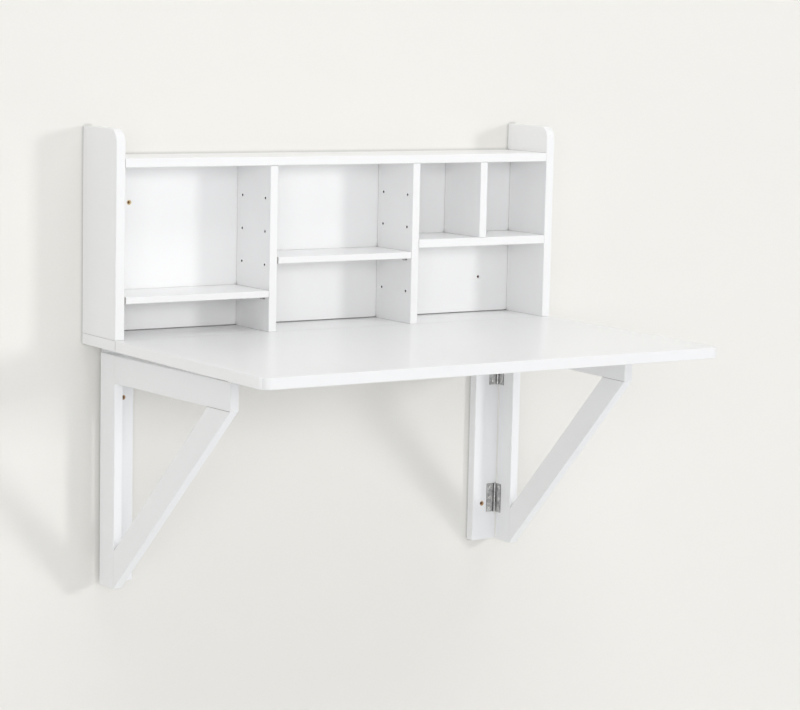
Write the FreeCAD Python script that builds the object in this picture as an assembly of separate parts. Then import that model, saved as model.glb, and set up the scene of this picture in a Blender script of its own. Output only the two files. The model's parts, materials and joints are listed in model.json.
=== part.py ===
import FreeCAD, Part
import math
import os

# A fold-down wall desk. A hutch of pigeon-holes stands on a fixed base board, a flap is hinged to the
# front of that board, and two gate brackets swing out from wall cleats to carry the flap.
# Millimetres. X runs along the wall, -Y out into the room, and heights count from the desk top.

Vector = FreeCAD.Vector
Placement = FreeCAD.Placement
Rotation = FreeCAD.Rotation
along_x = Vector(1, 0, 0)
along_y = Vector(0, 1, 0)
along_z = Vector(0, 0, 1)
rounding = 0.001

# Desk boards
desk_width = 1000.0
desk_depth = 675.0
desk_thickness = 21.0
flap_corner_radius = 20.0
seam_gap = 1.0

# Hutch
hutch_depth = 135.0
hutch_height = 390.0
side_thickness = 19.0
side_corner_radius = 25.0
top_board_height = 336.0
top_board_thickness = 17.0
divider_thickness = 17.0
cubby_divider_thickness = 17.0
fixed_shelf_thickness = 17.0
back_panel_thickness = 9.0
back_panel_gap = 1.8
board_edge_break = 0.9

# Loose shelves and the pins that carry them, rows counted from 0 at the bottom
loose_shelf_thickness = 13.0
shelf_left_gap = 3.0
shelf_right_gap = 0.4
shelf_back_gap = 1.0
shelf_rest_gap = 0.3
left_shelf_row_index = 0
middle_shelf_row_index = 1
pin_row_count = 4
pin_row_pitch = 64.0
pin_front_inset = 19.0
pin_back_inset = 20.0
pin_radius = 2.45
pin_hole_clearance = 0.05
pin_hole_depth = 7.5
pin_reach = 8.0
pin_sides = 10

# Wall cleats and wall screws
cleat_width = 58.0
cleat_thickness = 20.0
cleat_edge_past_axis = 5.0
wall_hole_radius = 2.5
wall_hole_head_radius = 5.0
back_hole_side_inset = 73.0
back_hole_bottom_inset = 73.0
back_hole_top_inset = 74.0
cleat_hole_side_inset = 22.0
cleat_hole_bottom_inset = 77.0
cleat_hole_top_inset = 105.0

# Gate brackets
bracket_stock_width = 53.0
bracket_stock_thickness = 18.0
bracket_inset = 25.0
bracket_headroom = 15.0
bracket_drop = 447.0
bracket_open_angle = 86.7
folded_tip_gap = 4.0
post_edge_gap = 2.4
stock_edge_break = 1.0

# Butt hinges, the same on the brackets and under the flap
hinge_length = 60.0
leaf_width = 19.0
leaf_thickness = 1.25
knuckle_count = 3
knuckle_radius = 2.8
knuckle_end_gap = 0.3
knuckle_side_gap = 0.4
hinge_pin_radius = 1.4
hinge_pin_clearance = 0.05
bracket_hinge_inset = 58.0
flap_hinge_inset = 170.0
flap_hinge_count = 3

# Countersunk screws
screw_sides = 6
screw_tip_radius = 0.3
hinge_screw_head_radius = 3.0
hinge_screw_shank_radius = 1.6
hinge_screw_length = 15.0
hinge_screw_near = 10.5
hinge_screw_far = 11.5
hinge_screw_end_inset = 7.5
block_screw_head_radius = 3.8
block_screw_shank_radius = 2.0
block_screw_length = 28.0
screw_clearance = 0.05

# Rest blocks under the flap
block_length = 50.0
block_depth = 40.0
block_setback = 10.0
block_edge_break = 3.0
block_rest_gap = 0.3
block_screw_inset = 12.0

# Loose tenons inside the joints
tenon_thickness = 5.0
tenon_length = 20.0
tenon_clearance = 0.1
carcass_tenon_width = 60.0
stock_tenon_width = 22.0

# Places that follow from the sizes above
half_width = desk_width / 2
inner_half_width = half_width - side_thickness
bay_width = (2 * inner_half_width - 2 * divider_thickness) / 3
left_divider_x = -inner_half_width + bay_width
right_divider_x = left_divider_x + divider_thickness + bay_width
right_bay_x = right_divider_x + divider_thickness
cubby_divider_x = right_bay_x + (bay_width - cubby_divider_thickness) / 2
bay_height = top_board_height - top_board_thickness
fixed_shelf_height = (bay_height - fixed_shelf_thickness) / 2
fixed_shelf_top = fixed_shelf_height + fixed_shelf_thickness
bay_back_y = -back_panel_thickness
desk_underside = -desk_thickness
bracket_top = desk_underside - bracket_headroom
bracket_bottom = bracket_top - bracket_drop
hinge_axis_x = half_width - bracket_inset - bracket_stock_thickness - knuckle_radius
hinge_axis_y = -cleat_thickness - knuckle_radius
bracket_reach = hinge_axis_x - post_edge_gap - folded_tip_gap / 2
flap_axis_y = -hutch_depth - seam_gap / 2
flap_axis_z = desk_underside - knuckle_radius
back_hole_x = inner_half_width - back_hole_side_inset
back_hole_heights = (back_hole_bottom_inset, bay_height - back_hole_top_inset)
cleat_hole_heights = (bracket_bottom + cleat_hole_bottom_inset, desk_underside - cleat_hole_top_inset)
origin = Vector(0, 0, sum(back_hole_heights) / 2)

nodes = {}


def box(x0, x1, y0, y1, z0, z1):
    """A block between two limits along each axis."""
    return Part.makeBox(x1 - x0, y1 - y0, z1 - z0, Vector(x0, y0, z0))


def placed(shape, placement):
    """A copy of a shape, moved."""
    copy = shape.copy()
    copy.Placement = placement.multiply(copy.Placement)
    return copy


def mirrored(shape):
    """The same piece on the other side of the desk."""
    return shape.mirror(Vector(0, 0, 0), along_x)


def at_level(value, level):
    """Whether a coordinate is at a level, within rounding."""
    return math.isclose(value, level, abs_tol=rounding)


def runs_along(edge, direction):
    """Whether an edge is straight and parallel to a direction."""
    if not isinstance(edge.Curve, (Part.Line, Part.LineSegment)):
        return False
    span = edge.Vertexes[-1].Point - edge.Vertexes[0].Point
    return span.cross(direction).Length < rounding * span.Length


def rounded(shape, radius, wanted):
    """Round the edges that pass a test."""
    return shape.makeFillet(radius, [edge for edge in shape.Edges if wanted(edge)])


def eased(shape, size, wanted):
    """Break the sharp edges that pass a test with a small flat."""
    return shape.makeChamfer(size, [edge for edge in shape.Edges if wanted(edge)])


def front_eased(board, direction):
    """Break the edges along the front of a hutch board."""
    return eased(
        board,
        board_edge_break,
        lambda edge: runs_along(edge, direction) and at_level(edge.CenterOfMass.y, -hutch_depth),
    )


def tenon_block(centre, length_axis, thickness_axis, width, clearance):
    """A loose tenon, or its mortise when it is given a clearance."""
    sides = dict.fromkeys("xyz", width)
    sides[length_axis] = tenon_length
    sides[thickness_axis] = tenon_thickness
    half = Vector(*(sides[axis] / 2 + clearance for axis in "xyz"))
    low = centre - half
    high = centre + half
    return box(low.x, high.x, low.y, high.y, low.z, high.z)


def join(pieces, tenons, names, centre, length_axis, thickness_axis, width):
    """Set a loose tenon across the joint between two pieces."""
    mortise = tenon_block(centre, length_axis, thickness_axis, width, tenon_clearance)
    for name in names:
        pieces[name] = pieces[name].cut(mortise)
    tenons.append(tenon_block(centre, length_axis, thickness_axis, width, 0))


def turned(rings, sides):
    """A solid through many-sided rings on Z, each a radius and a height, from the top ring down."""
    turns = [2 * math.pi * index / sides for index in range(sides)]
    loops = [[Vector(r * math.cos(a), r * math.sin(a), z) for a in turns] for r, z in rings]
    outlines = [loops[0], loops[-1]]
    for upper, lower in zip(loops, loops[1:]):
        for index in range(-1, sides - 1):
            outlines.append([upper[index], upper[index + 1], lower[index + 1], lower[index]])
    faces = [Part.Face(Part.makePolygon(outline + outline[:1])) for outline in outlines]
    solid = Part.makeSolid(Part.makeShell(faces))
    return solid if solid.Volume > 0 else solid.reversed()


def pin_bar(radius, start, direction, length):
    """A straight pin, or the hole for one, from a start point along a direction."""
    bar = turned([(radius, length), (radius, 0)], pin_sides)
    return placed(bar, Placement(start, Rotation(along_z, direction)))


def screw(head_radius, shank_radius, length):
    """A countersunk screw pointing down, with the flat of its head at height 0."""
    neck = shank_radius - head_radius
    return turned([(head_radius, 0), (shank_radius, neck), (screw_tip_radius, -length)], screw_sides)


def screw_hole(head_radius, shank_radius, length):
    """The countersunk hole that a screw sits in, open above its head."""
    neck = shank_radius - head_radius
    head = head_radius + screw_clearance
    shank = shank_radius + screw_clearance
    tip = screw_tip_radius + screw_clearance
    rings = [(head, head_radius), (head, 0), (shank, neck), (tip, -length - screw_clearance)]
    return turned(rings, screw_sides)


def wall_hole(depth):
    """A countersunk hole for a wall screw, through a board whose front face is at Y = 0."""
    bore = Part.makeCylinder(wall_hole_radius, depth, Vector(0, 0, 0), along_y)
    sink_depth = wall_hole_head_radius - screw_tip_radius
    sink = turned([(screw_tip_radius, sink_depth), (wall_hole_head_radius, 0)], pin_sides)
    return bore.fuse(placed(sink, Placement(Vector(0, 0, 0), Rotation(along_z, along_y))))


def hinge_leaf(slots, board_side):
    """A hinge leaf rolled about Z: its plate runs along +X and its board lies on the given Y side."""
    slot_length = hinge_length / knuckle_count
    plate_x = knuckle_radius + knuckle_side_gap
    back = board_side * knuckle_radius
    front = board_side * (knuckle_radius - leaf_thickness)
    curl_x = math.sqrt(back ** 2 - front ** 2)
    curl_start = Vector(curl_x, front, 0)
    curl_end = Vector(0, back, 0)
    flat = Part.makePolygon([curl_end, Vector(plate_x, back, 0), Vector(plate_x, front, 0), curl_start])
    curl = Part.Arc(curl_start, Vector(-knuckle_radius, 0, 0), curl_end).toShape()
    profile = Part.Face(Part.Wire(flat.Edges + [curl]))
    leaf = box(plate_x, leaf_width, min(back, front), max(back, front), 0, hinge_length)
    for slot in slots:
        low = slot * slot_length
        high = low + slot_length
        if slot > 0:
            low += knuckle_end_gap / 2
        if slot < knuckle_count - 1:
            high -= knuckle_end_gap / 2
        knuckle = profile.extrude(Vector(0, 0, high - low))
        leaf = leaf.fuse(placed(knuckle, Placement(Vector(0, 0, low), Rotation())))
    bore_radius = (hinge_pin_radius + hinge_pin_clearance) / math.cos(math.pi / pin_sides)
    return leaf.cut(pin_bar(bore_radius, Vector(0, 0, 0), along_z, hinge_length)).removeSplitter()


def leaf_screw_places(board_side):
    """Where the three staggered screws of a leaf sit, each pointing into the board."""
    turn = Rotation(along_x, 90 * board_side)
    face_y = board_side * (knuckle_radius - leaf_thickness)
    heights = (hinge_screw_end_inset, hinge_length / 2, hinge_length - hinge_screw_end_inset)
    reaches = (hinge_screw_near, hinge_screw_far, hinge_screw_near)
    return [Placement(Vector(x, face_y, z), turn) for x, z in zip(reaches, heights)]


def fit_leaf(pieces, leaf_name, board_name, board_side, placement, screws):
    """Screw a hinge leaf to its board: the fixed leaf has the outer knuckles, the moving leaf the rest."""
    sizes = (hinge_screw_head_radius, hinge_screw_shank_radius, hinge_screw_length)
    first_slot = 0 if board_side < 0 else 1
    leaf = hinge_leaf(range(first_slot, knuckle_count, 2), board_side)
    for place in leaf_screw_places(board_side):
        hole = placed(screw_hole(*sizes), place)
        leaf = leaf.cut(hole)
        pieces[board_name] = pieces[board_name].cut(placed(hole, placement))
        screws.append(placed(placed(screw(*sizes), place), placement))
    pieces[leaf_name] = placed(leaf, placement)


# Carcass: the boards of the hutch and the base board that it stands on

def side_panel():
    """The right side panel, with its top front corner rounded."""
    panel = box(inner_half_width, half_width, -hutch_depth, 0, 0, hutch_height)
    panel = rounded(
        panel,
        side_corner_radius,
        lambda edge: runs_along(edge, along_x)
        and at_level(edge.CenterOfMass.y, -hutch_depth)
        and at_level(edge.CenterOfMass.z, hutch_height),
    )
    return eased(
        panel,
        board_edge_break,
        lambda edge: not runs_along(edge, along_x) and edge.CenterOfMass.y < 0 < edge.CenterOfMass.z,
    )


def upright(x, thickness, low, high):
    """A divider between the back panel and the hutch front."""
    return front_eased(box(x, x + thickness, -hutch_depth, bay_back_y, low, high), along_z)


def level_board(x0, x1, back_y, low, high):
    """A board across the hutch, flush with its front."""
    return front_eased(box(x0, x1, -hutch_depth, back_y, low, high), along_x)


right_panel = side_panel()
base_board = box(-half_width, half_width, -hutch_depth, 0, desk_underside, 0)
boards = {
    "base_board": eased(
        base_board,
        board_edge_break,
        lambda edge: runs_along(edge, along_y),
    ),
    "left_side_panel": mirrored(right_panel),
    "right_side_panel": right_panel,
    "top_board": level_board(-inner_half_width, inner_half_width, 0, bay_height, top_board_height),
    "back_panel": box(-inner_half_width, inner_half_width, bay_back_y, 0, back_panel_gap, bay_height),
    "left_divider": upright(left_divider_x, divider_thickness, 0, bay_height),
    "right_divider": upright(right_divider_x, divider_thickness, 0, bay_height),
    "cubby_divider": upright(cubby_divider_x, cubby_divider_thickness, fixed_shelf_top, bay_height),
    "fixed_shelf": level_board(
        right_bay_x,
        inner_half_width,
        bay_back_y,
        fixed_shelf_height,
        fixed_shelf_top,
    ),
}

# Loose tenons that hold the carcass together, one to a joint, halfway between back panel and front
carcass_tenons = []
tenon_y = (bay_back_y - hutch_depth) / 2
side_middle = half_width - side_thickness / 2
left_divider_middle = left_divider_x + divider_thickness / 2
right_divider_middle = right_divider_x + divider_thickness / 2
cubby_divider_middle = cubby_divider_x + cubby_divider_thickness / 2
top_board_middle = top_board_height - top_board_thickness / 2
fixed_shelf_middle = fixed_shelf_height + fixed_shelf_thickness / 2
upright_joints = [
    ("left_side_panel", "base_board", -side_middle, 0),
    ("right_side_panel", "base_board", side_middle, 0),
    ("left_divider", "base_board", left_divider_middle, 0),
    ("right_divider", "base_board", right_divider_middle, 0),
    ("left_divider", "top_board", left_divider_middle, bay_height),
    ("right_divider", "top_board", right_divider_middle, bay_height),
    ("cubby_divider", "top_board", cubby_divider_middle, bay_height),
    ("cubby_divider", "fixed_shelf", cubby_divider_middle, fixed_shelf_top),
]
level_joints = [
    ("top_board", "left_side_panel", -inner_half_width, top_board_middle),
    ("top_board", "right_side_panel", inner_half_width, top_board_middle),
    ("fixed_shelf", "right_divider", right_bay_x, fixed_shelf_middle),
    ("fixed_shelf", "right_side_panel", inner_half_width, fixed_shelf_middle),
]
for one, other, x, z in upright_joints:
    join(boards, carcass_tenons, (one, other), Vector(x, tenon_y, z), "z", "x", carcass_tenon_width)
for one, other, x, z in level_joints:
    join(boards, carcass_tenons, (one, other), Vector(x, tenon_y, z), "x", "z", carcass_tenon_width)

# Shelf pins in rows of blind holes, in the facing walls of the left and middle bays
pin_columns = (-hutch_depth + pin_front_inset, bay_back_y - pin_back_inset)
bay_walls = [
    ("left_side_panel", -inner_half_width, 1, left_shelf_row_index, "left_shelf_pins"),
    ("left_divider", left_divider_x, -1, left_shelf_row_index, "left_shelf_pins"),
    ("left_divider", left_divider_x + divider_thickness, 1, middle_shelf_row_index, "middle_shelf_pins"),
    ("right_divider", right_divider_x, -1, middle_shelf_row_index, "middle_shelf_pins"),
]
shelf_pins = {"left_shelf_pins": [], "middle_shelf_pins": []}
for board, face_x, side, used_row, group in bay_walls:
    outward = Vector(side, 0, 0)
    for y in pin_columns:
        for row in range(pin_row_count):
            start = Vector(face_x, y, (row + 1) * pin_row_pitch) - outward * pin_hole_depth
            hole = pin_bar(pin_radius + pin_hole_clearance, start, outward, pin_hole_depth)
            boards[board] = boards[board].cut(hole)
            if row == used_row:
                pin = pin_bar(pin_radius, start, outward, pin_hole_depth + pin_reach)
                shelf_pins[group].append(pin)
for group, pins in shelf_pins.items():
    nodes[group] = Part.makeCompound(pins)

# Loose shelves, each laid on four pins
loose_shelves = [
    ("left_shelf", left_shelf_row_index, -inner_half_width, left_divider_x),
    ("middle_shelf", middle_shelf_row_index, left_divider_x + divider_thickness, right_divider_x),
]
for name, row, left_wall, right_wall in loose_shelves:
    low = (row + 1) * pin_row_pitch + pin_radius + shelf_rest_gap
    nodes[name] = level_board(
        left_wall + shelf_left_gap,
        right_wall - shelf_right_gap,
        bay_back_y - shelf_back_gap,
        low,
        low + loose_shelf_thickness,
    )

# Wall screw holes of the back panel, at the corners of a rectangle
for x in (-back_hole_x, back_hole_x):
    for z in back_hole_heights:
        place = Placement(Vector(x, bay_back_y, z), Rotation())
        boards["back_panel"] = boards["back_panel"].cut(placed(wall_hole(back_panel_thickness), place))

# Right wall cleat, hung under the base board, with its screw holes inboard of the hinges
cleat_outer_x = hinge_axis_x + cleat_edge_past_axis
cleat_inner_x = cleat_outer_x - cleat_width
cleat = eased(
    box(cleat_inner_x, cleat_outer_x, -cleat_thickness, 0, bracket_bottom, desk_underside),
    board_edge_break,
    lambda edge: at_level(edge.CenterOfMass.y, -cleat_thickness) and runs_along(edge, along_z),
)
for z in cleat_hole_heights:
    place = Placement(Vector(cleat_inner_x + cleat_hole_side_inset, -cleat_thickness, z), Rotation())
    cleat = cleat.cut(placed(wall_hole(cleat_thickness), place))
boards["wall_cleat"] = cleat
cleat_middle_x = (cleat_inner_x + cleat_outer_x) / 2
for side, joined in ((1, ("wall_cleat", "base_board")), (-1, ("base_board",))):
    centre = Vector(side * cleat_middle_x, -cleat_thickness / 2, desk_underside)
    join(boards, carcass_tenons, joined, centre, "z", "y", stock_tenon_width)
nodes["carcass_tenons"] = Part.makeCompound(carcass_tenons)


# Right gate bracket, drawn folded flat with the hinge axis on Z: X along it, Y through its thickness
def gate_bracket():
    """Post, rail and brace of a bracket, and the loose tenons between them."""
    inner = knuckle_radius
    outer = inner + bracket_stock_thickness
    middle = (inner + outer) / 2
    post_x = post_edge_gap + bracket_stock_width
    tip_x = post_edge_gap + bracket_reach
    rail_bottom = bracket_top - bracket_stock_width
    slope = math.atan2(rail_bottom - bracket_bottom, tip_x - post_x)
    foot_cut = bracket_stock_width / math.cos(slope)
    head_cut = bracket_stock_width / math.sin(slope)
    brace_outline = [
        Vector(post_x, inner, bracket_bottom),
        Vector(tip_x, inner, rail_bottom),
        Vector(tip_x - head_cut, inner, rail_bottom),
        Vector(post_x, inner, bracket_bottom + foot_cut),
    ]
    brace_face = Part.Face(Part.makePolygon(brace_outline + brace_outline[:1]))
    stock = {
        "post": (box(post_edge_gap, post_x, inner, outer, bracket_bottom, bracket_top), along_z),
        "rail": (box(post_x, tip_x, inner, outer, rail_bottom, bracket_top), along_x),
        "brace": (
            brace_face.extrude(Vector(0, bracket_stock_thickness, 0)),
            Vector(math.cos(slope), 0, math.sin(slope)),
        ),
    }
    pieces = {}
    for name, (piece, grain) in stock.items():
        pieces[name] = eased(piece, stock_edge_break, lambda edge: runs_along(edge, grain))
    tenons = []
    rail_joint = Vector(post_x, middle, bracket_top - bracket_stock_width / 2)
    foot_joint = Vector(post_x, middle, bracket_bottom + foot_cut / 2)
    head_joint = Vector(tip_x - head_cut / 2, middle, rail_bottom)
    join(pieces, tenons, ("post", "rail"), rail_joint, "x", "y", stock_tenon_width)
    join(pieces, tenons, ("post", "brace"), foot_joint, "x", "y", stock_tenon_width)
    join(pieces, tenons, ("rail", "brace"), head_joint, "z", "y", stock_tenon_width)
    pieces["bracket_tenons"] = Part.makeCompound(tenons)
    return pieces


# Bracket hinges: the fixed leaf lies on the front of the cleat, the moving leaf on the post
bracket_folded = Placement(Vector(hinge_axis_x, hinge_axis_y, 0), Rotation(along_z, 180))
bracket_open = bracket_folded.multiply(Placement(Vector(0, 0, 0), Rotation(along_z, bracket_open_angle)))
bracket = gate_bracket()
cleat_screws = []
post_screws = []
bracket_pins = []
hinge_feet = {
    "upper": bracket_top - bracket_hinge_inset - hinge_length,
    "lower": bracket_bottom + bracket_hinge_inset,
}
for level, foot in hinge_feet.items():
    raised = Placement(Vector(0, 0, foot), Rotation())
    fit_leaf(boards, level + "_cleat_leaf", "wall_cleat", -1, bracket_folded.multiply(raised), cleat_screws)
    fit_leaf(bracket, level + "_post_leaf", "post", 1, raised, post_screws)
    bracket_pins.append(pin_bar(hinge_pin_radius, Vector(0, 0, foot), along_z, hinge_length))
boards["cleat_screws"] = Part.makeCompound(cleat_screws)
bracket["post_screws"] = Part.makeCompound(post_screws)
bracket["hinge_pins"] = Part.makeCompound(bracket_pins)

# Both sides of the desk carry the same cleat and bracket, as mirror images
paired = {name: placed(shape, bracket_open) for name, shape in bracket.items()}
for name in ("wall_cleat", "cleat_screws", "upper_cleat_leaf", "lower_cleat_leaf"):
    paired[name] = boards.pop(name)
for name, shape in paired.items():
    nodes["right_" + name] = shape
    nodes["left_" + name] = mirrored(shape)

# Flap, with its two front corners rounded
flap = rounded(
    box(-half_width, half_width, -desk_depth, -hutch_depth - seam_gap, desk_underside, 0),
    flap_corner_radius,
    lambda edge: runs_along(edge, along_z) and at_level(edge.CenterOfMass.y, -desk_depth),
)
flap_pieces = {
    "flap_board": eased(
        flap,
        board_edge_break,
        lambda edge: not runs_along(edge, along_z)
        and not at_level(edge.CenterOfMass.y, -hutch_depth - seam_gap),
    )
}

# Flap hinges, opened flat under the seam between the base board and the flap
flap_axis = Vector(0, flap_axis_y, flap_axis_z)
flap_folded = Placement(flap_axis, Rotation(along_y, -along_z, -along_x, "XYZ"))
flap_level = flap_folded.multiply(Placement(Vector(0, 0, 0), Rotation(along_z, 180)))
base_screws = []
flap_screws = []
flap_pins = []
flap_hinge_pitch = (desk_width - 2 * flap_hinge_inset) / (flap_hinge_count - 1)
for index in range(flap_hinge_count):
    middle_x = -half_width + flap_hinge_inset + index * flap_hinge_pitch
    along = Placement(Vector(0, 0, -middle_x - hinge_length / 2), Rotation())
    number = str(index + 1)
    fit_leaf(boards, "base_leaf_" + number, "base_board", -1, flap_folded.multiply(along), base_screws)
    fit_leaf(flap_pieces, "flap_leaf_" + number, "flap_board", 1, flap_level.multiply(along), flap_screws)
    pin_start = Vector(middle_x - hinge_length / 2, flap_axis_y, flap_axis_z)
    flap_pins.append(pin_bar(hinge_pin_radius, pin_start, along_x, hinge_length))
boards["base_screws"] = Part.makeCompound(base_screws)
flap_pieces["flap_screws"] = Part.makeCompound(flap_screws)
flap_pieces["flap_hinge_pins"] = Part.makeCompound(flap_pins)

# Rest blocks screwed under the flap, one over the tip of each open rail
block_screw_sizes = (block_screw_head_radius, block_screw_shank_radius, block_screw_length)
block_reach = post_edge_gap + bracket_reach - block_setback - block_depth / 2
block_middle = knuckle_radius + bracket_stock_thickness / 2
block_seat = bracket_open.multVec(Vector(block_reach, block_middle, bracket_top))
block_outer_x = block_seat.x + bracket_stock_thickness / 2
block_inner_x = block_outer_x - block_length
block_front_y = block_seat.y - block_depth / 2
block_back_y = block_front_y + block_depth
block_bottom = bracket_top + block_rest_gap
block = eased(
    box(block_inner_x, block_outer_x, block_front_y, block_back_y, block_bottom, desk_underside),
    block_edge_break,
    lambda edge: runs_along(edge, along_y) and at_level(edge.CenterOfMass.z, block_bottom),
)
block_screws = []
for x in (block_inner_x + block_screw_inset, block_outer_x - block_screw_inset):
    upward = Placement(Vector(x, block_seat.y, block_bottom), Rotation(along_x, 180))
    hole = placed(screw_hole(*block_screw_sizes), upward)
    block = block.cut(hole)
    flap_pieces["flap_board"] = flap_pieces["flap_board"].cut(hole).cut(mirrored(hole))
    block_screws.append(placed(screw(*block_screw_sizes), upward))
flap_pieces["right_rest_block"] = block
flap_pieces["left_rest_block"] = mirrored(block)
flap_pieces["block_screws"] = Part.makeCompound(block_screws + [mirrored(piece) for piece in block_screws])

# One file for each named piece, with the origin moved to the middle of the back panel's wall holes
nodes.update(boards)
nodes.update(flap_pieces)
os.makedirs("parts", exist_ok=True)
for name, shape in nodes.items():
    placed(shape, Placement(-origin, Rotation())).exportStep("parts/" + name + ".step")
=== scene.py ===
import json
import math

import bmesh
import bpy
import numpy as np
from mathutils import Matrix, Vector


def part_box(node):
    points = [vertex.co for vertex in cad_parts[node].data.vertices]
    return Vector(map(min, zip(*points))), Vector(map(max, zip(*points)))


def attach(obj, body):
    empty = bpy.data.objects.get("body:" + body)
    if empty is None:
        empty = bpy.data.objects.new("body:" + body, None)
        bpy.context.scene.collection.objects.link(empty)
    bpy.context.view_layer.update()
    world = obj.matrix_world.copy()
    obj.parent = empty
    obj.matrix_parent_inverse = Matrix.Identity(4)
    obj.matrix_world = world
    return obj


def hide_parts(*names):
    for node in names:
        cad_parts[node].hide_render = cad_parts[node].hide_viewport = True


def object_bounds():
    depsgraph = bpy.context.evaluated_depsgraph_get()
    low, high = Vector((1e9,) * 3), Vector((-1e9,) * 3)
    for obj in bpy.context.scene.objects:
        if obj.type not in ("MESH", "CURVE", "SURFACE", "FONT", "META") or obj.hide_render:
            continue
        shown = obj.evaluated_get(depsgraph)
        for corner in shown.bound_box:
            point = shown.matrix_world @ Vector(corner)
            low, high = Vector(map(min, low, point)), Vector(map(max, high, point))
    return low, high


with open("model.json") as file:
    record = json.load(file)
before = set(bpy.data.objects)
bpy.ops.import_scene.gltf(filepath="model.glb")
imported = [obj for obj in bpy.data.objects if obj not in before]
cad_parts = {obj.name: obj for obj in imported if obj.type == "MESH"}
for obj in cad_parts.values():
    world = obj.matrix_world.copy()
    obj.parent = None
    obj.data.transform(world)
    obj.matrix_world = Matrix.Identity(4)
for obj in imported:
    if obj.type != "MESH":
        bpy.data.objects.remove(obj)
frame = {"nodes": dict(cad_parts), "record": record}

cad_low, cad_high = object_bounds()
nodes = frame["nodes"]
mounts = {mount["name"]: mount for mount in frame["record"]["mounts"]}


# Base board
# The fixed strip of desk top under the hutch: a board of pressed wood fibre, sprayed satin white. Tenons hold
# it between the hutch and the wall cleats, and the flap's hinges are screwed to its underside.

def add(tree, kind, inputs=None, **settings):
    """A shader node with its settings made, and each input set to a value or linked to an output."""
    node = tree.nodes.new(kind)
    for name, value in settings.items():
        setattr(node, name, value)
    for name, value in (inputs or {}).items():
        if isinstance(value, bpy.types.NodeSocket):
            tree.links.new(value, node.inputs[name])
        else:
            node.inputs[name].default_value = value
    return node


def effect(name, inputs, outputs):
    """An empty node group with named sockets, the outputs of its input node, and its output node."""
    tree = bpy.data.node_groups.new(name, "ShaderNodeTree")
    for label, kind in inputs.items():
        tree.interface.new_socket(label, in_out="INPUT", socket_type="NodeSocket" + kind)
    for label, kind in outputs.items():
        tree.interface.new_socket(label, in_out="OUTPUT", socket_type="NodeSocket" + kind)
    return tree, tree.nodes.new("NodeGroupInput").outputs, tree.nodes.new("NodeGroupOutput")


def deliver(tree, end, label, output):
    """Link a value to one of a group's named outputs."""
    tree.links.new(output, end.inputs[label])


def blank_material(name):
    """A new material with an empty node tree, and that tree."""
    material = bpy.data.materials.new(name)
    material.use_nodes = True
    material.node_tree.nodes.clear()
    return material, material.node_tree


def blend(tree, share, first, second):
    """A colour between two others, by the share of the second."""
    mixed = add(tree, "ShaderNodeMix", {0: share, 6: first, 7: second}, data_type="RGBA")
    return mixed.outputs[2]


# Sprayed lacquer dries with a fine orange peel, and the board's fibres show through it a little.
sprayed_film, given, end = effect(
    "sprayed_film",
    {"Peel Scale": "Float", "Fibre Stretch": "Vector", "Fibre Turn": "Float"},
    {"Height": "Float", "Sheen": "Float", "Tone": "Float"},
)
spot = add(sprayed_film, "ShaderNodeTexCoord").outputs["Object"]
peel = add(sprayed_film, "ShaderNodeTexNoise", {"Vector": spot, "Scale": given["Peel Scale"], "Detail": 2.0})
turned_spot = add(
    sprayed_film,
    "ShaderNodeVectorRotate",
    {"Vector": spot, "Angle": given["Fibre Turn"]},
    rotation_type="X_AXIS",
)
stretched = add(
    sprayed_film,
    "ShaderNodeVectorMath",
    {0: turned_spot.outputs[0], 1: given["Fibre Stretch"]},
    operation="MULTIPLY",
)
fibre = add(sprayed_film, "ShaderNodeTexNoise", {"Vector": stretched.outputs[0], "Scale": 1.0, "Detail": 3.0})
fibre_share = 0.3
film_height = add(
    sprayed_film,
    "ShaderNodeMix",
    {0: fibre_share, 2: peel.outputs[0], 3: fibre.outputs[0]},
    data_type="FLOAT",
)
sheen = add(sprayed_film, "ShaderNodeTexNoise", {"Vector": spot, "Scale": 11.0, "Detail": 4.0})
tone = add(sprayed_film, "ShaderNodeTexNoise", {"Vector": spot, "Scale": 3.0, "Detail": 2.0})
deliver(sprayed_film, end, "Height", film_height.outputs[0])
deliver(sprayed_film, end, "Sheen", sheen.outputs[0])
deliver(sprayed_film, end, "Tone", tone.outputs[0])

# Edges are softened by sanding, and the lacquer lightens them as a painted highlight where they catch the
# light.
soft_edge, given, end = effect("soft_edge", {"Radius": "Float"}, {"Mask": "Float", "Normal": "Vector"})
softened = add(soft_edge, "ShaderNodeBevel", {"Radius": given["Radius"]}, samples=6)
facing = add(soft_edge, "ShaderNodeNewGeometry").outputs["Normal"]
agreement = add(
    soft_edge, "ShaderNodeVectorMath", {0: softened.outputs[0], 1: facing}, operation="DOT_PRODUCT"
)
edge_mask = add(
    soft_edge,
    "ShaderNodeMapRange",
    {"Value": agreement.outputs["Value"], "From Min": 0.995, "From Max": 0.80, "To Min": 0.0, "To Max": 1.0},
)
deliver(soft_edge, end, "Mask", edge_mask.outputs[0])
deliver(soft_edge, end, "Normal", softened.outputs[0])

# Painted shade: colour darkens in closed-in spots, where two boards meet and in the slots between them.
painted_corner_shade, given, end = effect(
    "painted_corner_shade", {"Reach": "Float", "Open": "Float", "Shut": "Float"}, {"Mask": "Float"}
)
openness = add(painted_corner_shade, "ShaderNodeAmbientOcclusion", {"Distance": given["Reach"]}, samples=8)
closed_in = add(
    painted_corner_shade,
    "ShaderNodeMapRange",
    {"Value": openness.outputs["AO"], "From Min": given["Open"], "From Max": given["Shut"]},
)
deliver(painted_corner_shade, end, "Mask", closed_in.outputs[0])


def closeness(tree, reach, wide, shut):
    """How closed in a spot is, from 0 where its openness within reach is wide to 1 where it is shut."""
    line = add(tree, "ShaderNodeGroup", {"Reach": reach, "Open": wide, "Shut": shut}, node_tree=painted_corner_shade)
    return line.outputs["Mask"]


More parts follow.
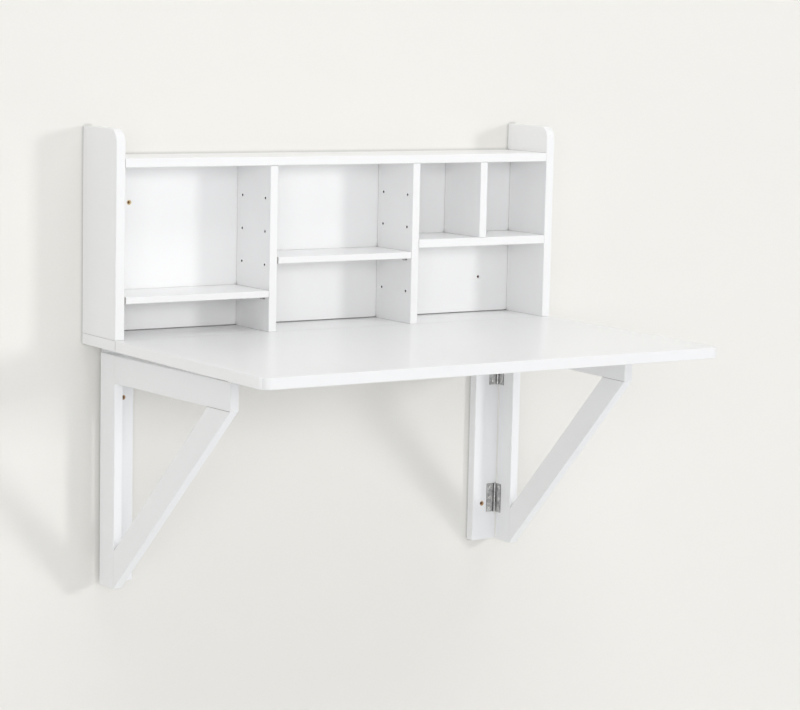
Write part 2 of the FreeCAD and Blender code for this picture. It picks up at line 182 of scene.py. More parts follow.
fibres_along_x = (5.0, 420.0, 420.0)
fibres_along_y = (420.0, 5.0, 420.0)
fibres_along_z = (420.0, 420.0, 5.0)


def lacquer(
    name, colour, fibres, roughness, turn=0.0, slot_shade_tone=0.16, joint_reach=0.0018, slot_reach=0.014
):
    """Satin white lacquer on a board whose fibres run along one axis, or are turned about X from it."""
    material, tree = blank_material(name)
    film = add(
        tree,
        "ShaderNodeGroup",
        {"Peel Scale": 520.0, "Fibre Stretch": fibres, "Fibre Turn": turn},
        node_tree=sprayed_film,
    )
    edge = add(tree, "ShaderNodeGroup", {"Radius": 0.0011}, node_tree=soft_edge)
    joint = closeness(tree, joint_reach, wide=0.75, shut=0.40)
    slot = closeness(tree, slot_reach, wide=0.42, shut=0.10)
    full = (*colour, 1.0)
    shaded = (*(0.985 * value for value in colour), 1.0)
    # Painted highlight: edges are lightened towards this near-white.
    edge_highlight = (0.95, 0.95, 0.95, 1.0)
    # Painted shade: inner corners where boards meet darken towards this grey.
    joint_shade = (0.36, 0.355, 0.34, 1.0)
    # Painted shade: slots between boards darken towards the slot shade tone.
    dark = (slot_shade_tone, 0.97 * slot_shade_tone, 0.91 * slot_shade_tone, 1.0)
    toned = blend(tree, film.outputs["Tone"], shaded, full)
    edged = blend(tree, edge.outputs["Mask"], toned, edge_highlight)
    lined = blend(tree, joint, edged, joint_shade)
    slot_shaded = blend(tree, slot, lined, dark)
    gloss = add(
        tree,
        "ShaderNodeMapRange",
        {"Value": film.outputs["Sheen"], "To Min": roughness - 0.05, "To Max": roughness + 0.05},
    )
    relief = add(
        tree,
        "ShaderNodeBump",
        {
            "Strength": 0.6,
            "Distance": 0.00005,
            "Height": film.outputs["Height"],
            "Normal": edge.outputs["Normal"],
        },
    )
    surface = add(
        tree,
        "ShaderNodeBsdfPrincipled",
        {
            "Base Color": slot_shaded,
            "Roughness": gloss.outputs[0],
            "Normal": relief.outputs[0],
            "Coat Weight": 0.2,
            "Coat Roughness": 0.18,
        },
    )
    add(tree, "ShaderNodeOutputMaterial", {"Surface": surface.outputs[0]})
    return material


def dress(material, *names):
    """Give one finish to the named CAD pieces."""
    for name in names:
        nodes[name].data.materials.clear()
        nodes[name].data.materials.append(material)


def faces_wear(name, material, wanted):
    """Show another material on the faces of a CAD piece whose normals pass a test."""
    board = nodes[name].data
    board.materials.append(material)
    for face in board.polygons:
        if wanted(face.normal):
            face.material_index = len(board.materials) - 1


def faces_wall(normal):
    """Whether a face lies against the wall."""
    return normal.y > 0.5


lacquer_white = (0.936, 0.937, 0.939)
dress(lacquer("base_board_lacquer", lacquer_white, fibres_along_x, roughness=0.34), "base_board")

# The faces on the wall have only a thin coat, and get no painted corner or slot shade.
primer_white = (0.86, 0.855, 0.84)
no_painted_shade = 0.0003
primer = lacquer(
    "primer", primer_white, fibres_along_x, roughness=0.55, joint_reach=no_painted_shade, slot_reach=no_painted_shade
)
faces_wear("base_board", primer, faces_wall)


# Side panels, dividers and their shelf-pin holes
# Upright boards of the hutch, drilled after lacquering. Rows of blind 5 mm holes for shelf pins show bare
# fibre painted near black as shade, and the faces towards the room are a touch greyer as painted shade.
upright_boards = ("left_side_panel", "right_side_panel", "left_divider", "right_divider", "cubby_divider")
dress(lacquer("upright_lacquer", lacquer_white, fibres_along_z, roughness=0.36), *upright_boards)

# Painted shade: the faces towards the room take this greyer lacquer, toning down their bright light.
edge_white = (0.875, 0.876, 0.878)
front_face_shade = lacquer("front_face_shade", edge_white, fibres_along_z, roughness=0.40)


def faces_front(normal):
    """Whether a face looks out into the room."""
    return normal.y < -0.5


for name in upright_boards:
    faces_wear(name, front_face_shade, faces_front)
    faces_wear(name, primer, faces_wall)

# Bare fibre painted near black, far darker than its own brown, as shade deep in holes and slots.
shaded_bare_fibre, tree = blank_material("shaded_bare_fibre")
fibre_spot = add(tree, "ShaderNodeTexCoord").outputs["Object"]
fibre_fleck = add(tree, "ShaderNodeTexNoise", {"Vector": fibre_spot, "Scale": 1900.0, "Detail": 3.0})
fibre_colour = blend(tree, fibre_fleck.outputs[0], (0.014, 0.010, 0.008, 1.0), (0.034, 0.024, 0.017, 1.0))
fibre_relief = add(
    tree, "ShaderNodeBump", {"Strength": 0.8, "Distance": 0.0002, "Height": fibre_fleck.outputs[0]}
)
fibre_surface = add(
    tree,
    "ShaderNodeBsdfPrincipled",
    {"Base Color": fibre_colour, "Roughness": 0.9, "Normal": fibre_relief.outputs[0]},
)
add(tree, "ShaderNodeOutputMaterial", {"Surface": fibre_surface.outputs[0]})


def drilled(name, material, largest_area=20e-6, skin=0.001):
    """Show another material on the small faces inside a board, which are the walls of its drilled holes."""
    board = nodes[name].data
    low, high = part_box(name)
    board.materials.append(material)
    for face in board.polygons:
        middle = face.center
        inside = all(low[axis] + skin < middle[axis] < high[axis] - skin for axis in range(3))
        if inside and face.area < largest_area:
            face.material_index = len(board.materials) - 1


for name in ("left_side_panel", "left_divider", "right_divider"):
    drilled(name, shaded_bare_fibre)


# Back panel
# A fibreboard panel let in between the side panels, white on its face, bare on its sawn bottom edge, which is
# painted near black as shade. Of its countersunk wall holes, the left ones were cut after lacquering and show
# a golden rim, the right before, and their bores are darker than bare wood as painted shade.
dress(lacquer("back_panel_lacquer", lacquer_white, fibres_along_x, roughness=0.40), "back_panel")
faces_wear("back_panel", primer, faces_wall)


def wood_grain_material(name, early, late, roughness, stretch):
    """Bare wood with growth rings drawn out along the grain."""
    material, tree = blank_material(name)
    spot = add(tree, "ShaderNodeTexCoord").outputs["Object"]
    grain_spot = add(tree, "ShaderNodeVectorMath", {0: spot, 1: stretch}, operation="MULTIPLY")
    ring = add(
        tree,
        "ShaderNodeTexNoise",
        {"Vector": grain_spot.outputs[0], "Scale": 1.0, "Detail": 4.0, "Distortion": 0.4},
    )
    pore = add(tree, "ShaderNodeTexNoise", {"Vector": spot, "Scale": 2400.0, "Detail": 2.0})
    band = add(tree, "ShaderNodeMapRange", {"Value": ring.outputs[0], "From Min": 0.35, "From Max": 0.65})
    colour = blend(tree, band.outputs[0], (*early, 1.0), (*late, 1.0))
    relief = add(tree, "ShaderNodeBump", {"Strength": 0.5, "Distance": 0.0001, "Height": pore.outputs[0]})
    surface = add(
        tree,
        "ShaderNodeBsdfPrincipled",
        {"Base Color": colour, "Roughness": roughness, "Normal": relief.outputs[0]},
    )
    add(tree, "ShaderNodeOutputMaterial", {"Surface": surface.outputs[0]})
    return material


fibreboard_grain = (900.0, 900.0, 900.0)
left_countersink = wood_grain_material(
    "left_countersink",
    early=(0.72, 0.55, 0.28),
    late=(0.86, 0.74, 0.50),
    roughness=0.7,
    stretch=fibreboard_grain,
)
# Painted shade: the bores are far darker than the countersinks' wood, the right ones darkest.
left_bore = wood_grain_material(
    "left_bore", early=(0.26, 0.12, 0.04), late=(0.42, 0.22, 0.08), roughness=0.85, stretch=fibreboard_grain
)
right_bore = wood_grain_material(
    "right_bore", early=(0.11, 0.03, 0.02), late=(0.20, 0.06, 0.04), roughness=0.85, stretch=fibreboard_grain
)


def wall_hole_places(mount):
    """X and Z of the holes of a pattern on the wall, from its middle and its spacings."""
    sizes = mount["dims"]
    half_x = sizes.get("spacing_x_mm", 0.0) / 2000
    half_z = sizes.get("spacing_y_mm", 0.0) / 2000
    middle_x, _, middle_z = mount["pos_m"]
    return [(middle_x + i * half_x, middle_z + j * half_z) for i in (-1, 1) for j in (-1, 1)]


def bare_wall_holes(name, places, bore_radius, bore, countersink=None, rim=0.0052, flat=0.98, play=1.02):
    """Show bare wood in the bores of a board's wall holes, and in their countersinks where one is given."""
    board = nodes[name].data
    board.materials.append(bore)
    bore_index = len(board.materials) - 1
    if countersink:
        board.materials.append(countersink)
    for face in board.polygons:
        reach = min(math.hypot(face.center.x - x, face.center.z - z) for x, z in places)
        if reach < rim and abs(face.normal.y) < flat:
            if reach < play * bore_radius:
                face.material_index = bore_index
            elif countersink:
                face.material_index = bore_index + 1


panel_holes = wall_hole_places(mounts["wall_holes"])
panel_bore_radius = mounts["wall_holes"]["dims"]["hole_r_mm"] / 1000
left_holes = [place for place in panel_holes if place[0] < 0]
right_holes = [place for place in panel_holes if place[0] > 0]
bare_wall_holes("back_panel", left_holes, panel_bore_radius, left_bore, left_countersink)
bare_wall_holes("back_panel", right_holes, panel_bore_radius, right_bore)
sawn_depth = 0.0005
panel = nodes["back_panel"].data
panel_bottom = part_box("back_panel")[0].z
panel.materials.append(shaded_bare_fibre)
for face in panel.polygons:
    if face.center.z < panel_bottom + sawn_depth:
        face.material_index = len(panel.materials) - 1


# Top board and fixed shelf
# Level boards of the hutch, tenoned between the uprights and lacquered like them.
level_boards = ("top_board", "fixed_shelf")
dress(lacquer("level_lacquer", lacquer_white, fibres_along_x, roughness=0.34), *level_boards)
for name in level_boards:
    faces_wear(name, front_face_shade, faces_front)
    faces_wear(name, primer, faces_wall)


# Loose tenons
# Slips of beech, glued into mortises across every joint of the carcass and of the gate brackets. They are
# hidden once the desk is together, so they stay bare.
beech = wood_grain_material(
    "beech",
    early=(0.47, 0.31, 0.18),
    late=(0.60, 0.43, 0.27),
    roughness=0.6,
    stretch=(40.0, 700.0, 700.0),
)
dress(beech, "carcass_tenons", "left_bracket_tenons", "right_bracket_tenons")


# Loose shelves
# Thin lacquered boards that lie on pins in the left and middle bays and can be lifted out.
# The painted slot shade on the shelves is kept light, so the gap at their ends shows grey.
shelf_end_shade_tone = 0.75
shelf_lacquer = lacquer(
    "shelf_lacquer", lacquer_white, fibres_along_x, roughness=0.33, slot_shade_tone=shelf_end_shade_tone
)
for name in ("left_shelf", "middle_shelf"):
    dress(shelf_lacquer, name)
    faces_wear(name, front_face_shade, faces_front)


# Shelf pins
# Short nickel-plated steel pegs, pushed into the blind holes by hand, four under each loose shelf. Their ends
# are turned flat, with a small chamfer.

# Rolled and plated steel has drawn-out scratches and a cloudy bloom.
plated_bloom, given, end = effect(
    "plated_bloom",
    {"Scratch Stretch": "Vector", "Bloom Scale": "Float"},
    {"Height": "Float", "Shine": "Float", "Bloom": "Float"},
)
spot = add(plated_bloom, "ShaderNodeTexCoord").outputs["Object"]
drawn = add(
    plated_bloom, "ShaderNodeVectorMath", {0: spot, 1: given["Scratch Stretch"]}, operation="MULTIPLY"
)
scratch = add(plated_bloom, "ShaderNodeTexNoise", {"Vector": drawn.outputs[0], "Scale": 1.0, "Detail": 5.0})
bloom = add(
    plated_bloom,
    "ShaderNodeTexNoise",
    {"Vector": spot, "Scale": given["Bloom Scale"], "Detail": 4.0, "Distortion": 0.8},
)
shine = add(
    plated_bloom, "ShaderNodeMix", {0: 0.5, 2: scratch.outputs[0], 3: bloom.outputs[0]}, data_type="FLOAT"
)
bloom_band = add(
    plated_bloom, "ShaderNodeMapRange", {"Value": bloom.outputs[0], "From Min": 0.34, "From Max": 0.66}
)
deliver(plated_bloom, end, "Height", scratch.outputs[0])
deliver(plated_bloom, end, "Shine", shine.outputs[0])
deliver(plated_bloom, end, "Bloom", bloom_band.outputs[0])


def plated_steel(name, dark, bright, roughness, scratches, bloom_scale, crease_shade_reach=0.007):
    """Plated steel with scratches drawn out along one axis, between a dull and a bright tone."""
    material, tree = blank_material(name)
    plate = add(
        tree,
        "ShaderNodeGroup",
        {"Scratch Stretch": scratches, "Bloom Scale": bloom_scale},
        node_tree=plated_bloom,
    )
    edge = add(tree, "ShaderNodeGroup", {"Radius": 0.0003}, node_tree=soft_edge)
    # Painted shade: the metal darkens towards near-black in creases and close by the knuckles.
    crease = closeness(tree, crease_shade_reach, wide=0.85, shut=0.45)
    clouded = blend(tree, plate.outputs["Bloom"], (*dark, 1.0), (*bright, 1.0))
    colour = blend(tree, crease, clouded, (0.07, 0.068, 0.065, 1.0))
    gloss = add(
        tree,
        "ShaderNodeMapRange",
        {
            "Value": plate.outputs["Shine"],
            "From Min": 0.3,
            "From Max": 0.7,
            "To Min": roughness - 0.08,
            "To Max": roughness + 0.10,
        },
    )
    relief = add(
        tree,
        "ShaderNodeBump",
        {
            "Strength": 0.4,
            "Distance": 0.00006,
            "Height": plate.outputs["Height"],
            "Normal": edge.outputs["Normal"],
        },
    )
    surface = add(
        tree,
        "ShaderNodeBsdfPrincipled",
        {
            "Base Color": colour,
            "Metallic": 1.0,
            "Roughness": gloss.outputs[0],
            "Normal": relief.outputs[0],
        },
    )
    add(tree, "ShaderNodeOutputMaterial", {"Surface": surface.outputs[0]})
    return material


def turned_solids(node):
    """The middle of the wide end, and the way to the other end, of each turned solid in a CAD piece."""
    mesh = nodes[node].data
    points = np.array([vertex.co for vertex in mesh.vertices])
    spots, spot_of = np.unique(points.round(5), axis=0, return_inverse=True)
    spot_of = spot_of.reshape(-1)
    owner = list(range(len(spots)))

    def chief(index):
        while owner[index] != index:
            index = owner[index]
        return index

    for face in mesh.polygons:
        corners = [spot_of[corner] for corner in face.vertices]
        for corner in corners[1:]:
            owner[chief(corner)] = chief(corners[0])
    groups = {}
    for index, point in enumerate(spots):
        groups.setdefault(chief(index), []).append(point)
    solids = []
    for group in groups.values():
        cloud = np.array(group)
        axis = np.linalg.svd(cloud - cloud.mean(axis=0))[2][0]
        along = cloud @ axis
        end_depth = 0.01 * np.ptp(along)
        ends = [cloud[along > along.max() - end_depth], cloud[along < along.min() + end_depth]]
        wide, narrow = sorted(ends, key=lambda ring: np.ptp(ring, axis=0).max(), reverse=True)
        solids.append((Vector(wide.mean(axis=0)), Vector(narrow.mean(axis=0) - wide.mean(axis=0))))
    return solids


def lathe(bm, profile, head, drop, sides):
    """Add a turned form to a mesh: a profile of radii and depths below its head, along the drop."""
    turn = drop.to_track_quat("Z", "X").to_matrix()
    rings = []
    for radius, depth in profile:
        ring = []
        for step in range(sides):
            angle = 2 * math.pi * step / sides
            offset = Vector((radius * math.cos(angle), radius * math.sin(angle), depth))
            ring.append(bm.verts.new(head + turn @ offset))
        rings.append(ring)
    for upper, lower in zip(rings, rings[1:]):
        for step in range(sides):
            after = (step + 1) % sides
            bm.faces.new((upper[step], upper[after], lower[after], lower[step]))
    return rings


def finished_piece(name, bm, material, body, node, crease=40.0):
    """Turn a mesh into a piece with one finish that rides on a body and stands for a CAD piece."""
    bmesh.ops.recalc_face_normals(bm, faces=bm.faces)
    mesh = bpy.data.meshes.new(name)
    bm.to_mesh(mesh)
    bm.free()
    mesh.materials.append(material)
    mesh.shade_smooth()
    mesh.set_sharp_from_angle(angle=math.radians(crease))
    piece = bpy.data.objects.new(name, mesh)
    bpy.context.scene.collection.objects.link(piece)
    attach(piece, body)
    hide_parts(node)


def domed_pins(name, node, body, material, radius, dome, sides):
    """Round pins, chamfered and domed at both ends, where a CAD piece has its many-sided ones."""
    bm = bmesh.new()
    for head, drop in turned_solids(node):
        length = drop.length
        shoulder = 0.35 * radius
        profile = [
            (0.55 * radius, -dome),
            (0.85 * radius, -0.55 * dome),
            (radius, shoulder),
            (radius, length - shoulder),
            (0.85 * radius, length + 0.55 * dome),
            (0.55 * radius, length + dome),
        ]
        rings = lathe(bm, profile, head, drop, sides)
        bm.faces.new(rings[0])
        bm.faces.new(rings[-1])
    finished_piece(name, bm, material, body, node)


nickel = plated_steel(
    "nickel",
    dark=(0.52, 0.51, 0.49),
    bright=(0.70, 0.69, 0.67),
    roughness=0.30,
    scratches=(60.0, 1500.0, 1500.0),
    bloom_scale=260.0,
)
shelf_pin = {"radius": 0.00245, "dome": 0.0, "sides": 24}
for side in ("left", "middle"):
    domed_pins(side + "_shelf_pegs", side + "_shelf_pins", "carcass", nickel, **shelf_pin)


# Wall cleats
# Solid wood battens under the base board that carry the gate brackets. Their lacquer, like the brackets', is
# greyer and a little cooler than on the boards, a painted shade for the parts below the desk top, and their
# countersunk wall holes were drilled afterwards, so tan wood shows in them, darker in the bores as painted
# shade.
# Painted shade: cleats and brackets below the desk top take this greyer, cooler white.
shaded_timber_white = (0.901, 0.905, 0.912)
cleat_lacquer = lacquer("cleat_lacquer", shaded_timber_white, fibres_along_z, roughness=0.38)
dress(cleat_lacquer, "left_wall_cleat", "right_wall_cleat")
cleat_grain = (700.0, 700.0, 60.0)
cleat_countersink = wood_grain_material(
    "cleat_countersink",
    early=(0.42, 0.24, 0.12),
    late=(0.60, 0.40, 0.24),
    roughness=0.75,
    stretch=cleat_grain,
)
# Painted shade: the bores are far darker than the countersinks' wood.
cleat_bore = wood_grain_material(
    "cleat_bore", early=(0.10, 0.055, 0.03), late=(0.18, 0.10, 0.055), roughness=0.9, stretch=cleat_grain
)
for side in ("left", "right"):
    faces_wear(side + "_wall_cleat", primer, faces_wall)
    cleat_mount = mounts[side + "_cleat_holes"]
    cleat_bore_radius = cleat_mount["dims"]["hole_r_mm"] / 1000
    cleat_holes = wall_hole_places(cleat_mount)
    bare_wall_holes(side + "_wall_cleat", cleat_holes, cleat_bore_radius, cleat_bore, cleat_countersink)


# Hinge leaves
# Butt hinges pressed from plated steel strip and rolled into knuckles round a pin. One leaf lies on the cleat
# or under the base board, the other on the bracket post or under the flap.
leaf_plate = {
    "dark": (0.40, 0.40, 0.40),
    "bright": (0.78, 0.78, 0.77),
    "roughness": 0.32,
    "bloom_scale": 120.0,
}
bracket_leaf = plated_steel("bracket_leaf", scratches=(1500.0, 1500.0, 50.0), **leaf_plate)
flap_leaf = plated_steel("flap_leaf", scratches=(50.0, 1500.0, 1500.0), **leaf_plate)
for name in nodes:
    if name.endswith(("cleat_leaf", "post_leaf")):
        dress(bracket_leaf, name)
    elif name.startswith(("base_leaf", "flap_leaf")):
        dress(flap_leaf, name)


# Hinge pins
# Drawn steel wire, peened to a low dome at both ends so that it can't work out of the knuckles.
hinge_pin = {"radius": 0.0014, "dome": 0.0004, "sides": 20}
for side in ("left", "right"):
    domed_pins(side + "_hinge_rods", side + "_hinge_pins", side + "_bracket", nickel, **hinge_pin)
domed_pins("flap_hinge_rods", "flap_hinge_pins", "flap", nickel, **hinge_pin)


# Wood screws
# Raised countersunk screws with a cross recess, plated bright. They hold the hinge leaves and rest blocks,
# and a low dome stands above the countersink.
screw_plate = plated_steel(
    "screw_plate",
    dark=(0.92, 0.91, 0.89),
    bright=(0.98, 0.97, 0.95),
    roughness=0.24,
    scratches=(900.0, 900.0, 900.0),
    bloom_scale=600.0,
    crease_shade_reach=0.0009,
)


def cross_recess(bm, rim, head, drop, height, reach, half_width, depth, taper=0.45):
    """Close a screw's head with a flat that has a tapered cross sunk in it."""
    turn = drop.to_track_quat("Z", "X").to_matrix()
    outline = []
    for quarter in range(4):
        spin = Matrix.Rotation(quarter * math.pi / 2, 2)
        for x, y in ((half_width, half_width), (reach, half_width), (reach, -half_width)):
            outline.append(spin @ Vector((x, y)))
    order = sorted(outline, key=lambda corner: math.atan2(corner.y, corner.x))
    mouth = []
    foot = []
    for corner in order:
        mouth.append(bm.verts.new(head + turn @ Vector((corner.x, corner.y, -height))))
    for corner in order:
        foot.append(bm.verts.new(head + turn @ Vector((taper * corner.x, taper * corner.y, depth - height))))
    count = len(order)
    for step in range(count):
        after = (step + 1) % count
        bm.faces.new((mouth[step], mouth[after], foot[after], foot[step]))
    bm.faces.new(foot)
    mouth_edges = [bm.edges.get((mouth[step], mouth[(step + 1) % count])) for step in range(count)]
    rim_edges = [bm.edges.get((rim[step], rim[(step + 1) % len(rim)])) for step in range(len(rim))]
    bmesh.ops.triangle_fill(bm, use_beauty=True, edges=mouth_edges + rim_edges)


def wood_screws(name, node, body, head_radius, shank_radius, sides=24):
    """Detailed screws where a CAD piece has its plain ones."""
    dome = 0.13 * head_radius
    cross_reach = 0.52 * head_radius
    cross_half_width = 0.13 * head_radius
    cross_depth = 0.35 * head_radius
    bm = bmesh.new()
    for head, drop in turned_solids(node):
        length = drop.length
        neck = head_radius - shank_radius
        profile = [
            (0.66 * head_radius, -dome),
            (0.88 * head_radius, -0.66 * dome),
            (1.01 * head_radius, -0.10 * dome),
            (head_radius, 0.10 * neck),
            (shank_radius, 1.1 * neck),
            (0.8 * shank_radius, 0.75 * length),
            (0.1 * shank_radius, length),
        ]
        rings = lathe(bm, profile, head, drop, sides)
        bm.faces.new(rings[-1])
        cross_recess(bm, rings[0], head, drop, dome, cross_reach, cross_half_width, cross_depth)
    finished_piece(name, bm, screw_plate, body, node)


hinge_screw = {"head_radius": 0.0030, "shank_radius": 0.0016}
block_screw = {"head_radius": 0.0038, "shank_radius": 0.0020}
for side in ("left", "right"):
    wood_screws(side + "_cleat_wood_screws", side + "_cleat_screws", "carcass", **hinge_screw)
    wood_screws(side + "_post_wood_screws", side + "_post_screws", side + "_bracket", **hinge_screw)
wood_screws("base_wood_screws", "base_screws", "carcass", **hinge_screw)
wood_screws("flap_wood_screws", "flap_screws", "flap", **hinge_screw)
wood_screws("block_wood_screws", "block_screws", "flap", **block_screw)


# Gate brackets
# Triangular gates of planed solid wood: post, rail and brace, butted and tenoned together, then lacquered as
# one. The joints show as hairlines, and the sawn ends of the members are greyer, partly as end grain that
# drinks more lacquer and partly as painted shade.
# Partly painted shade: the sawn ends take this greyer lacquer.
end_shade_white = (0.79, 0.792, 0.795)
fibres_end_on = (420.0, 420.0, 420.0)
end_grain_and_shade = lacquer("end_grain_and_shade", end_shade_white, fibres_end_on, roughness=0.46)
bracket_roughness = 0.38
# Posts and braces get a light painted slot shade.
notch_shade_tone = 0.7


def ends_upright(normal):
    """Whether a face is the sawn end of an upright member."""
    return abs(normal.z) > 0.95


def ends_level(normal):
    """Whether a face is the sawn end of a member that reaches out from the wall."""
    return abs(normal.y) > 0.95


for side in ("left", "right"):
    post_lacquer = lacquer(
        side + "_post_lacquer", shaded_timber_white, fibres_along_z, bracket_roughness, slot_shade_tone=notch_shade_tone
    )
    dress(post_lacquer, side + "_post")
    dress(lacquer(side + "_rail_lacquer", shaded_timber_white, fibres_along_y, bracket_roughness), side + "_rail")
    low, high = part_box(side + "_brace")
    brace_slope = math.atan2(high.z - low.z, high.y - low.y)
    brace_lacquer = lacquer(
        side + "_brace_lacquer",
        shaded_timber_white,
        fibres_along_y,
        bracket_roughness,
        turn=brace_slope,
        slot_shade_tone=notch_shade_tone,
    )
    dress(brace_lacquer, side + "_brace")
    faces_wear(side + "_post", end_grain_and_shade, ends_upright)
    faces_wear(side + "_rail", end_grain_and_shade, ends_level)


# Flap
# The large folding board, sprayed and rubbed down more carefully than the rest, so that it mirrors the hutch
# softly. Its front edge is greyer as painted shade, and hinges hold it to the base board from below.
dress(lacquer("flap_lacquer", lacquer_white, fibres_along_x, roughness=0.30), "flap_board")
# Painted shade: the flap's front edge takes this greyer white.
flap_edge_white = (0.825, 0.826, 0.828)
flap_front_edge = lacquer("flap_front_edge", flap_edge_white, fibres_along_x, roughness=0.38)
faces_wear("flap_board", flap_front_edge, faces_front)


# Rest blocks
# Small lacquered blocks screwed under the flap, which meet the tips of the open rails.
block_lacquer = lacquer("block_lacquer", lacquer_white, fibres_along_y, roughness=0.38)
dress(block_lacquer, "left_rest_block", "right_rest_block")


# Wall and floor
# A warm white wall that curves into a cooler pale floor. Both show only from the room's side, so the back of
# the desk can be seen from behind.
wall_gap = 0.001
wall_half_width = 6.0
wall_top = cad_high.z + 3.0
floor_level = cad_low.z - 0.62
floor_reach = 9.0
cove_radius = 0.15
cove_steps = 12
outline = [(wall_gap, wall_top)]
for step in range(cove_steps + 1):
    angle = step / cove_steps * math.pi / 2
    y = wall_gap - cove_radius * (1 - math.cos(angle))
    z = floor_level + cove_radius * (1 - math.sin(angle))
    outline.append((y, z))
outline.append((-floor_reach, floor_level))
bm = bmesh.new()
left_line = [bm.verts.new((-wall_half_width, y, z)) for y, z in outline]
right_line = [bm.verts.new((wall_half_width, y, z)) for y, z in outline]
for step in range(len(outline) - 1):
    bm.faces.new((left_line[step], left_line[step + 1], right_line[step + 1], right_line[step]))
studio_mesh = bpy.data.meshes.new("studio")
bm.to_mesh(studio_mesh)
bm.free()
studio_mesh.shade_smooth()
studio = bpy.data.objects.new("studio", studio_mesh)
bpy.context.scene.collection.objects.link(studio)


def one_sided_paint(name, dull, pale):
    """Matt paint with a fine mottle, seen only from its front, that lets light through to what lies on it."""
    material, tree = blank_material(name)
    spot = add(tree, "ShaderNodeTexCoord").outputs["Object"]
    mottle = add(tree, "ShaderNodeTexNoise", {"Vector": spot, "Scale": 420.0, "Detail": 3.0})
    colour = blend(tree, mottle.outputs[0], (*dull, 1.0), (*pale, 1.0))
    # Painted shadow: the paint darkens where the desk stands close to the wall.
    contact_shadow = closeness(tree, 0.008, wide=0.90, shut=0.25)
    shaded = blend(tree, contact_shadow, colour, (0.40, 0.395, 0.38, 1.0))
    paint = add(tree, "ShaderNodeBsdfPrincipled", {"Base Color": shaded, "Roughness": 0.85})
    unseen = add(tree, "ShaderNodeBsdfTransparent")
    rear = add(tree, "ShaderNodeNewGeometry").outputs["Backfacing"]
    path = add(tree, "ShaderNodeLightPath").outputs
    resting = add(tree, "ShaderNodeMath", {0: path["Ray Length"], 1: 5 * wall_gap}, operation="LESS_THAN")
    lit_through = add(
        tree,
        "ShaderNodeMath",
        {0: resting.outputs[0], 1: path["Is Camera Ray"]},
        operation="SUBTRACT",
        use_clamp=True,
    )
    clear = add(tree, "ShaderNodeMath", {0: rear, 1: lit_through.outputs[0]}, operation="MAXIMUM")
    one_sided = add(
        tree, "ShaderNodeMixShader", {0: clear.outputs[0], 1: paint.outputs[0], 2: unseen.outputs[0]}
    )
    add(tree, "ShaderNodeOutputMaterial", {"Surface": one_sided.outputs[0]})
    return material


wall_paint = one_sided_paint("wall_paint", dull=(0.800, 0.788, 0.751), pale=(0.830, 0.818, 0.780))
floor_paint = one_sided_paint("floor_paint", dull=(0.790, 0.797, 0.812), pale=(0.815, 0.822, 0.837))
studio_mesh.materials.append(wall_paint)
studio_mesh.materials.append(floor_paint)
floor_slope = 0.7
for face in studio_mesh.polygons:
    face.material_index = int(face.normal.z > floor_slope)


# Studio light
# An even pale room, brighter behind the wall, with a soft key lamp to the sitter's right, a broad one to
# their left and one overhead.
world = bpy.data.worlds.new("room")
bpy.context.scene.world = world
world.use_nodes = True
tree = world.node_tree
tree.nodes.clear()
room_way = add(tree, "ShaderNodeTexCoord").outputs["Generated"]
room_side = add(tree, "ShaderNodeSeparateXYZ", {0: room_way}).outputs
front_level = add(
    tree,
    "ShaderNodeMapRange",
    {"Value": room_side["Z"], "From Min": -0.2, "From Max": 0.5, "To Min": 0.20, "To Max": 0.52},
)
rear_level = add(
    tree, "ShaderNodeMapRange", {"Value": room_side["Y"], "From Min": 0.0, "From Max": 0.4, "To Max": 0.42}
)
room_level = add(
    tree, "ShaderNodeMath", {0: front_level.outputs[0], 1: rear_level.outputs[0]}, operation="ADD"
)
room_light = add(
    tree, "ShaderNodeBackground", {"Color": (0.985, 0.99, 1.0, 1.0), "Strength": room_level.outputs[0]}
)
room_seen = add(tree, "ShaderNodeBackground", {"Color": (1.0, 1.0, 1.0, 1.0), "Strength": 1.0})
path = add(tree, "ShaderNodeLightPath").outputs
direct = add(
    tree, "ShaderNodeMath", {0: path["Is Camera Ray"], 1: path["Is Glossy Ray"]}, operation="MAXIMUM"
)
seen = add(
    tree, "ShaderNodeMath", {0: direct.outputs[0], 1: path["Is Transmission Ray"]}, operation="MAXIMUM"
)
room = add(
    tree, "ShaderNodeMixShader", {0: seen.outputs[0], 1: room_light.outputs[0], 2: room_seen.outputs[0]}
)
add(tree, "ShaderNodeOutputWorld", {"Surface": room.outputs[0]})

middle = (cad_low + cad_high) / 2


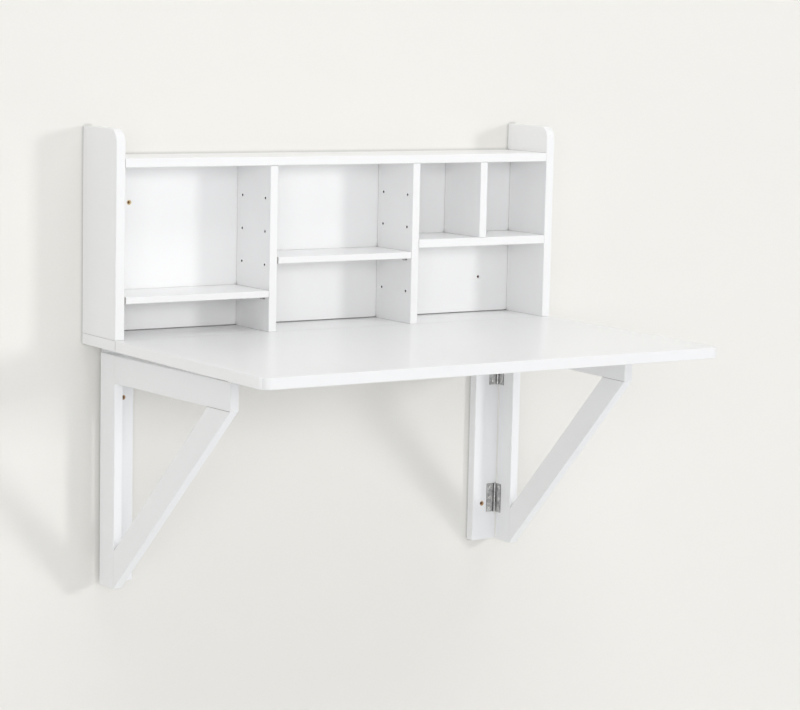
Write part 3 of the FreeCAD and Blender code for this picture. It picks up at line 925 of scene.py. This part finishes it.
def soft_lamp(name, direction, distance, width, height, power):
    """A rectangular lamp, turned towards the middle of the desk, that makes no glare on the lacquer."""
    data = bpy.data.lights.new(name, "AREA")
    data.shape = "RECTANGLE"
    data.size = width
    data.size_y = height
    data.energy = power
    lamp = bpy.data.objects.new(name, data)
    way = Vector(direction).normalized()
    lamp.location = middle + distance * way
    lamp.rotation_mode = "QUATERNION"
    lamp.rotation_quaternion = way.to_track_quat("Z", "Y")
    lamp.visible_glossy = False
    bpy.context.scene.collection.objects.link(lamp)


soft_lamp("key_lamp", (0.58, -0.82, 0.16), distance=10.0, width=1.6, height=1.6, power=214.0)
soft_lamp("left_lamp", (-0.46, -0.88, 0.16), distance=10.0, width=7.0, height=3.2, power=274.0)
soft_lamp("top_lamp", (0.0, -0.6, 1.0), distance=8.0, width=6.0, height=4.0, power=160.0)


# Camera
# It stands where the photograph was taken from: to the sitter's left, above the hutch, with a long lens.
desk_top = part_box("flap_board")[1].z
camera_place = Vector((-2.6277, -4.2861, desk_top + 0.5964))
camera_yaw = math.radians(33.618)
camera_pitch = math.radians(7.512)
camera_roll = math.radians(-1.244)
level_forward = Vector((math.sin(camera_yaw), math.cos(camera_yaw), 0.0))
level_right = Vector((math.cos(camera_yaw), -math.sin(camera_yaw), 0.0))
level_down = Vector((0.0, 0.0, -1.0))
forward = math.cos(camera_pitch) * level_forward + math.sin(camera_pitch) * level_down
tipped_down = math.cos(camera_pitch) * level_down - math.sin(camera_pitch) * level_forward
right = math.cos(camera_roll) * level_right + math.sin(camera_roll) * tipped_down
down = math.cos(camera_roll) * tipped_down - math.sin(camera_roll) * level_right
camera_data = bpy.data.cameras.new("camera")
camera_data.sensor_width = 36.0
camera_data.lens = 113.886
camera = bpy.data.objects.new("camera", camera_data)
camera_turn = Matrix((right, -down, -forward)).transposed().to_4x4()
camera.matrix_world = Matrix.Translation(camera_place) @ camera_turn
bpy.context.scene.collection.objects.link(camera)
bpy.context.scene.camera = camera
bpy.context.scene.view_settings.view_transform = "Standard"
